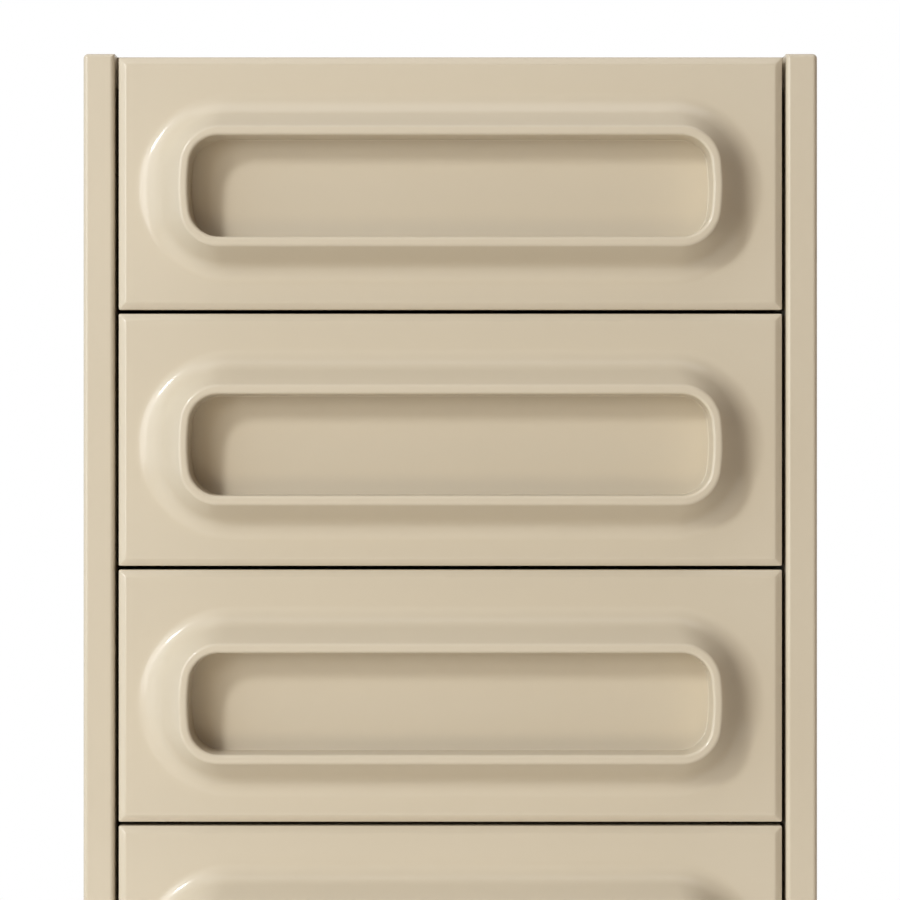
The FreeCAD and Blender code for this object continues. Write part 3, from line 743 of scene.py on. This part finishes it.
def screw_head(bm, place, radius, height):
    """A domed head with a cross-shaped recess, on the plane of the matrix place."""
    rows, dome_drop = 13, 0.55
    arm_length, arm_half_width, arm_level = 0.62 * radius, 0.12 * radius, 0.35
    grid = []
    for row in range(rows):
        line = []
        for column in range(rows):
            u = 2 * column / (rows - 1) - 1
            v = 2 * row / (rows - 1) - 1
            x = u * math.sqrt(1 - v * v / 2) * radius
            y = v * math.sqrt(1 - u * u / 2) * radius
            dome = height * (1 - dome_drop * (x * x + y * y) / radius ** 2)
            near, far = sorted((abs(x), abs(y)))
            in_arm = near < arm_half_width and far < arm_length
            level = arm_level if in_arm else 1.0
            line.append(bm.verts.new(place @ Vector((x, y, dome * level))))
        grid.append(line)
    for row in range(rows - 1):
        for column in range(rows - 1):
            bm.faces.new((grid[row][column], grid[row][column + 1],
                          grid[row + 1][column + 1], grid[row + 1][column]))
    border = (grid[0] + [line[-1] for line in grid[1:]] + grid[-1][-2::-1]
              + [line[0] for line in grid[-2:0:-1]])
    base = []
    for vert in border:
        flat = place.inverted() @ vert.co
        base.append(bm.verts.new(place @ Vector((flat.x, flat.y, 0.0))))
    count = len(border)
    for index in range(count):
        after = (index + 1) % count
        bm.faces.new((border[index], border[after], base[after], base[index]))
    bm.faces.new(base)


def facing(point, direction, spin):
    """A matrix that sets local Z along direction at the point, turned by spin."""
    turn = Vector(direction).to_track_quat("Z", "Y").to_matrix().to_4x4()
    return Matrix.Translation(point) @ turn @ Matrix.Rotation(spin, 4, "Z")


def box_screws(number):
    """Screws that hold the moulded front, the corners of the box and the inner runner members."""
    side_low, side_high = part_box(f"drawer_{number}_side_right")
    inner_front_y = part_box(f"drawer_{number}_inner_front")[1].y
    runner_low, runner_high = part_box(f"drawer_{number}_runner_inner")
    front_xs = (-0.120, 0.0, 0.120)
    front_zs = (side_low.z + 0.034, side_high.z - 0.022)
    corner_ys = (side_low.y + 0.006, side_high.y - 0.006)
    corner_zs = (side_low.z + 0.010, side_high.z - 0.034, side_high.z - 0.012)
    runner_ys = (runner_low.y + 0.030, runner_low.y + 0.160, runner_high.y - 0.045)
    runner_z = (runner_low.z + runner_high.z) / 2
    rows = [((x, inner_front_y, z), (0, 1, 0), FRONT_SCREW) for x in front_xs for z in front_zs]
    for hand in SIDES:
        rows += [((hand * side_high.x, y, z), (hand, 0, 0), CORNER_SCREW)
                 for y in corner_ys for z in corner_zs]
        rows += [((hand * (side_high.x + RUNNER_WEB), y, runner_z), (hand, 0, 0), RUNNER_SCREW)
                 for y in runner_ys]
    bm = bmesh.new()
    turn_between = 0.7
    for index, (point, direction, size) in enumerate(rows):
        screw_head(bm, facing(point, direction, turn_between * index), *size)
    add_object(f"box_screws_{number}", bm, "zinc", f"drawer_{number}", smooth=False)


def build_glides():
    """Four turned glides with a nail in the middle, in place of the plain discs."""
    low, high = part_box("floor_glides")
    bm = bmesh.new()
    profile = [*NAIL_PROFILE, *((GLIDE_RADIUS - inset, up) for inset, up in GLIDE_EDGE),
               (GLIDE_RADIUS, high.z - GLIDE_CHAMFER), (GLIDE_RADIUS - GLIDE_CHAMFER, high.z)]
    for x in (low.x + GLIDE_RADIUS, high.x - GLIDE_RADIUS):
        for y in (low.y + GLIDE_RADIUS, high.y - GLIDE_RADIUS):
            turned(bm, profile, Matrix.Translation((x, y, low.z)))
    glides = add_object("turned_glides", bm, "nylon", "cabinet")
    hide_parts("floor_glides")


# Operators

class CHEST_OT_mix_finishes(Operator):
    """Mixes the lacquer, wood, hardboard, zinc and nylon"""
    bl_idname = "chest.mix_finishes"
    bl_label = "Mix Finishes"

    def execute(self, context):
        lacquer_material("lacquer")
        lacquer_material("lacquer_top", joint_at=BOARD_INNER_X)
        ply_material("birch_side", "X")
        ply_material("birch_cross", "Y")
        pine_material("pine_across", run_across=True)
        pine_material("pine_upright", run_across=False)
        hardboard_material()
        zinc_material()
        nylon_material()
        return {"FINISHED"}


class CHEST_OT_moulded_fronts(Operator):
    """Makes the moulded fronts with their flared pulls"""
    bl_idname = "chest.moulded_fronts"
    bl_label = "Moulded Fronts"

    def execute(self, context):
        for number in DRAWERS:
            build_front(number, context.scene.chest_shape)
        return {"FINISHED"}


class CHEST_OT_carcase(Operator):
    """Finishes the side boards, panels, back and plinth"""
    bl_idname = "chest.carcase"
    bl_label = "Carcase"

    def execute(self, context):
        for name in ("side_board_left", "side_board_right", "plinth_front"):
            dress(name, "lacquer")
        dress("top_panel", "lacquer_top")
        dress("bottom_panel", "pine_across")
        dress("plinth_back", "pine_across")
        dress("plinth_glue_blocks", "pine_upright")
        dress("back_panel", "fibreboard")
        return {"FINISHED"}


class CHEST_OT_drawer_boxes(Operator):
    """Finishes the drawer boxes and adds their screws"""
    bl_idname = "chest.drawer_boxes"
    bl_label = "Drawer Boxes"

    def execute(self, context):
        for number in DRAWERS:
            for side in ("side_left", "side_right"):
                dress(f"drawer_{number}_{side}", "birch_side")
            for cross in ("inner_front", "back"):
                dress(f"drawer_{number}_{cross}", "birch_cross")
            dress(f"drawer_{number}_bottom", "fibreboard")
            box_screws(number)
        return {"FINISHED"}


class CHEST_OT_runners(Operator):
    """Finishes the telescopic runners"""
    bl_idname = "chest.runners"
    bl_label = "Runners"

    def execute(self, context):
        for name in ("cabinet_runners_left", "cabinet_runners_right"):
            dress(name, "zinc")
        for number in DRAWERS:
            dress(f"drawer_{number}_runner_inner", "zinc")
            dress(f"drawer_{number}_runner_middle", "zinc")
        return {"FINISHED"}


class CHEST_OT_glides(Operator):
    """Makes the turned floor glides"""
    bl_idname = "chest.glides"
    bl_label = "Floor Glides"

    def execute(self, context):
        build_glides()
        return {"FINISHED"}


def floor_material():
    """Pale studio floor that keeps the chest's shadow and fades to white at its rim."""
    material, tree, shader, place = start_material(
        "studio_floor", Emission_Color=FLOOR_GLOW, Specular_IOR_Level=0.2)
    grain = noise(tree, place, scale=40.0, detail=4.0)
    distance = node(tree, "ShaderNodeVectorMath", operation="LENGTH")
    tree.links.new(place, distance.inputs[0])
    rim = between(tree, distance.outputs["Value"], FLOOR_FADE, smooth=True)
    pale = mix_colours(tree, grain, *FLOOR_TONES)
    tree.links.new(mix_colours(tree, rim, pale, BLACK), shader.inputs["Base Color"])
    tree.links.new(between(tree, grain, (0.3, 0.7), (0.65, 0.80)), shader.inputs["Roughness"])
    path = node(tree, "ShaderNodeLightPath")
    seen = math_node(tree, "MAXIMUM", path.outputs["Is Camera Ray"], path.outputs["Is Glossy Ray"])
    glow = between(tree, rim, (0.0, 1.0), (0.42, 1.0))
    tree.links.new(math_node(tree, "MULTIPLY", seen, glow), shader.inputs["Emission Strength"])
    return material


def build_floor():
    """A disc under the chest that carries its shadow."""
    bm = bmesh.new()
    bmesh.ops.create_circle(bm, cap_ends=True, radius=FLOOR_RADIUS, segments=96)
    mesh = bpy.data.meshes.new("studio_floor")
    bm.to_mesh(mesh)
    bm.free()
    mesh.materials.append(floor_material())
    floor = bpy.data.objects.new("studio_floor", mesh)
    floor.location.y = FLOOR_Y
    bpy.context.scene.collection.objects.link(floor)
    floor.visible_shadow = False


def build_world(studio):
    """A pale backdrop behind the chest, seen as white, and a warm dim room in front."""
    world = bpy.data.worlds.new("studio")
    world.use_nodes = True
    tree = world.node_tree
    tree.nodes.clear()
    depth = split(tree, tree.nodes.new("ShaderNodeTexCoord").outputs["Generated"])["Y"]
    behind = between(tree, depth, (0.30, 0.80), smooth=True)
    path = node(tree, "ShaderNodeLightPath")
    mirrored = math_node(tree, "MAXIMUM", path.outputs["Is Glossy Ray"],
                         path.outputs["Is Transmission Ray"])
    backdrop = between(tree, depth, (0.12, 0.50), smooth=True)
    seen = math_node(tree, "MAXIMUM", path.outputs["Is Camera Ray"],
                     math_node(tree, "MULTIPLY", mirrored, backdrop))
    room = mix_colours(tree, behind, rgba(studio.room_front), rgba(studio.room_back))
    sky = node(tree, "ShaderNodeBackground", {"Strength": 1.0})
    tree.links.new(mix_colours(tree, seen, room, WHITE), sky.inputs["Color"])
    output = tree.nodes.new("ShaderNodeOutputWorld")
    tree.links.new(sky.outputs[0], output.inputs["Surface"])
    bpy.context.scene.world = world


# Each light's name, bearing to the left of the camera and rise in degrees, distance and size,
# power in watts and tint
SOFTBOXES = (
    ("key_upper", 38.0, 24.0, 4.0, (0.45, 0.60), 65.0, (0.96, 0.98, 1.0)),
    ("key_lower", 33.0, 6.0, 4.0, (1.5, 1.5), 44.0, (0.96, 0.98, 1.0)),
    ("window_high", 46.0, 42.0, 4.0, (2.6, 2.2), 15.0, (0.80, 0.91, 1.0)),
    ("window_wide", 58.0, 8.0, 5.0, (3.0, 3.6), 54.0, (0.72, 0.86, 1.0)),
    ("window_side", 92.0, 5.0, 3.5, (2.0, 2.5), 11.0, (0.72, 0.86, 1.0)),
    ("room_front", 0.0, 15.0, 5.0, (4.0, 2.0), 23.0, (1.0, 0.94, 0.80)),
    ("room_right", -112.0, 5.0, 3.5, (1.5, 2.0), 8.0, (1.0, 0.70, 0.30)),
    ("ceiling", 0.0, 78.0, 3.0, (3.2, 2.4), 39.0, (0.98, 0.98, 0.97)),
    ("floor_bounce", 8.0, -20.0, 3.5, (2.4, 1.0), 20.0, (1.0, 0.84, 0.56)),
)


def add_softbox(name, bearing, rise, distance, size, power, tint):
    """An area light aimed at the fronts."""
    bearing, rise = math.radians(bearing), math.radians(rise)
    target = Vector((0.0, FACE_Y, LIGHT_TARGET_HEIGHT))
    across = distance * math.cos(rise)
    place = target + Vector((-across * math.sin(bearing), -across * math.cos(bearing),
                             distance * math.sin(rise)))
    light = bpy.data.lights.new(name, "AREA")
    light.shape = "RECTANGLE"
    light.size, light.size_y = size
    light.energy = power
    light.color = tint
    lamp = bpy.data.objects.new(name, light)
    lamp.location = place
    lamp.rotation_euler = (target - place).to_track_quat("-Z", "Y").to_euler()
    bpy.context.scene.collection.objects.link(lamp)


def build_camera(studio):
    """A camera square to the fronts, above their middle line."""
    camera = bpy.data.cameras.new("camera")
    camera.sensor_width = SENSOR_MM
    camera.lens = LENS_MM
    viewer = bpy.data.objects.new("camera", camera)
    viewer.location = (CAMERA_X, FACE_Y - studio.distance, studio.eye_height)
    viewer.rotation_euler = (math.radians(90.0), 0.0, 0.0)
    bpy.context.scene.collection.objects.link(viewer)
    bpy.context.scene.camera = viewer


class CHEST_OT_studio(Operator):
    """Sets the floor, the softboxes, the room light and the camera"""
    bl_idname = "chest.studio"
    bl_label = "Studio"

    def execute(self, context):
        studio = context.scene.chest_studio
        build_floor()
        for name, bearing, rise, distance, size, power, tint in SOFTBOXES:
            add_softbox(name, bearing, rise, distance, size, power * studio.light_level, tint)
        build_world(studio)
        build_camera(studio)
        context.scene.view_settings.view_transform = "Standard"
        return {"FINISHED"}


class CHEST_PT_panel(Panel):
    """Lists the steps that build the chest"""
    bl_idname = "CHEST_PT_panel"
    bl_label = "Chest of Drawers"
    bl_space_type = "VIEW_3D"
    bl_region_type = "UI"
    bl_category = "Chest"

    def draw(self, context):
        layout = self.layout
        for operator in STEPS:
            layout.operator(operator.bl_idname)
        for group in (context.scene.chest_shape, context.scene.chest_finish,
                      context.scene.chest_studio):
            box = layout.box()
            for key in group.__annotations__:
                box.prop(group, key)


STEPS = (CHEST_OT_mix_finishes, CHEST_OT_carcase, CHEST_OT_moulded_fronts,
         CHEST_OT_drawer_boxes, CHEST_OT_runners, CHEST_OT_glides, CHEST_OT_studio)
CLASSES = (ChestShape, ChestFinish, ChestStudio, *STEPS, CHEST_PT_panel)


def register():
    for cls in CLASSES:
        bpy.utils.register_class(cls)
    bpy.types.Scene.chest_shape = PointerProperty(type=ChestShape)
    bpy.types.Scene.chest_finish = PointerProperty(type=ChestFinish)
    bpy.types.Scene.chest_studio = PointerProperty(type=ChestStudio)


def unregister():
    del bpy.types.Scene.chest_studio
    del bpy.types.Scene.chest_finish
    del bpy.types.Scene.chest_shape
    for cls in reversed(CLASSES):
        bpy.utils.unregister_class(cls)


def main():
    """Builds the chest step by step."""
    register()
    bpy.ops.chest.mix_finishes()
    bpy.ops.chest.carcase()
    bpy.ops.chest.moulded_fronts()
    bpy.ops.chest.drawer_boxes()
    bpy.ops.chest.runners()
    bpy.ops.chest.glides()
    bpy.ops.chest.studio()
    bpy.context.view_layer.update()


if __name__ == "__main__":
    main()
